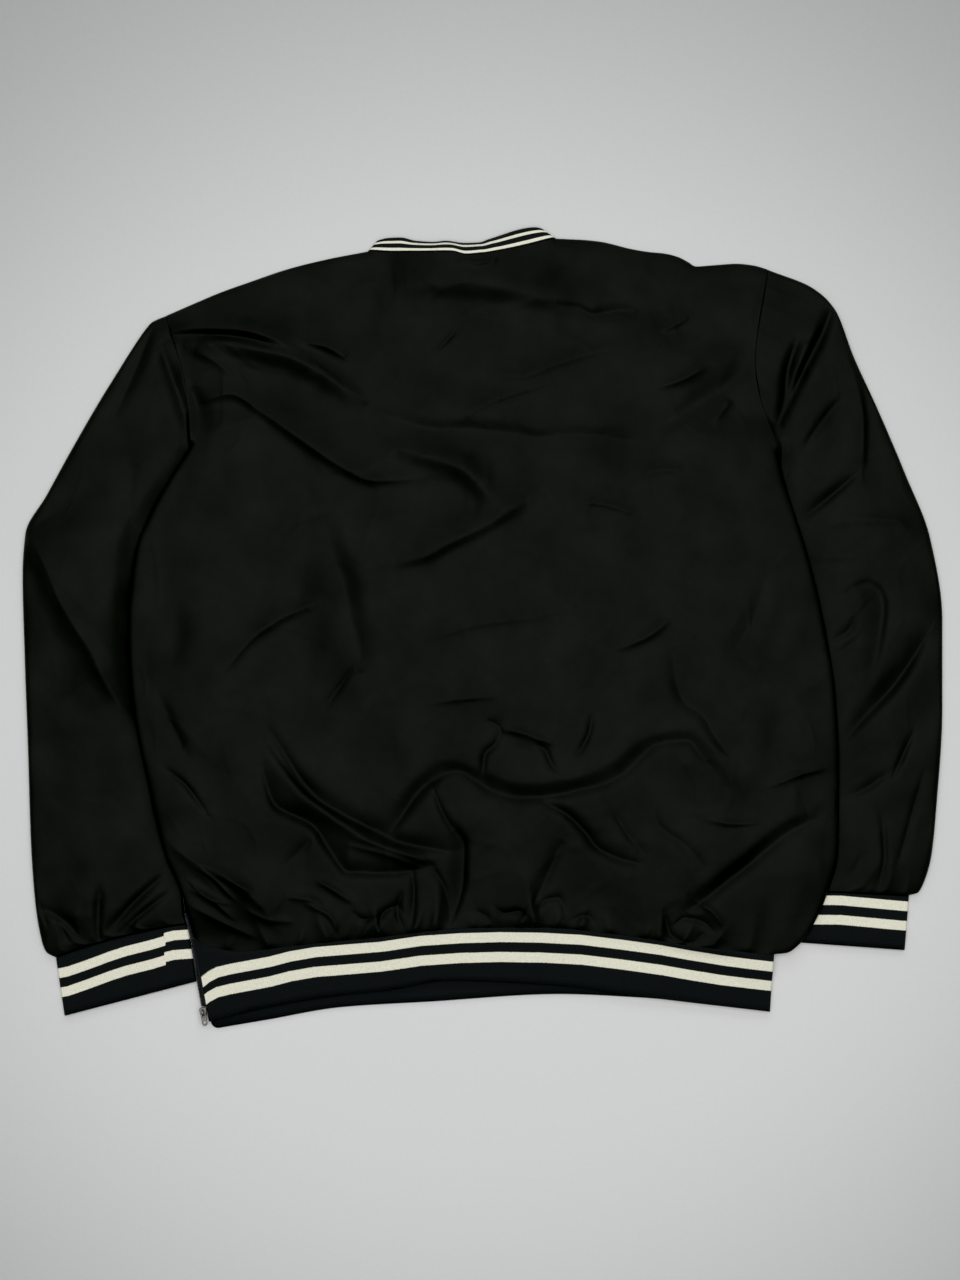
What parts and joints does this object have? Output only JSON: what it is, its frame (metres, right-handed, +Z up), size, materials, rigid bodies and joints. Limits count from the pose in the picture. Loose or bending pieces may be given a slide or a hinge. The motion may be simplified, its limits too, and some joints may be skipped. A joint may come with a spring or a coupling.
{
  "type": "pullover windshirt",
  "caption": "Black nylon pullover windshirt laid out flat with its back up: set-in sleeves, striped rib collar, cuffs and hem band, and a short side zip whose pull tab turns on its slider.",
  "frame": {"origin": "middle of the garment's outline, on the surface it lies on", "axes": "+X to the wearer's right as it lies back up, +Y towards the collar, +Z up off the surface"},
  "size_m": [0.854, 0.745, 0.0157],
  "materials": {
    "nylon_shell": "black woven nylon with a faint sheen",
    "rib_knit": "black rib knit with two cream stripes",
    "zip_tape": "matt black woven tape",
    "zip_coil": "black nylon coil",
    "zip_metal": "bright plated zinc"
  },
  "bodies": {
    "garment": {"back_panel": "nylon_shell", "front_panel": "nylon_shell", "sleeve_left": "nylon_shell", "sleeve_right": "nylon_shell", "cuff_left": "rib_knit", "cuff_right": "rib_knit", "hem_band": "rib_knit", "collar": "rib_knit", "zip_tape_back": "zip_tape", "zip_tape_front": "zip_tape", "zip_chain": "zip_coil", "zip_slider": "zip_metal"},
    "pull_tab": {"zip_pull": "zip_metal"}
  },
  "joints": [
    {"name": "pull_tab_turn", "type": "hinge", "parent": "garment", "child": "pull_tab", "pos_m": [-0.25869, -0.35631, 0.00822], "axis": [-0.9839, -0.1789, 0], "range_deg": [0, 165]}
  ]
}
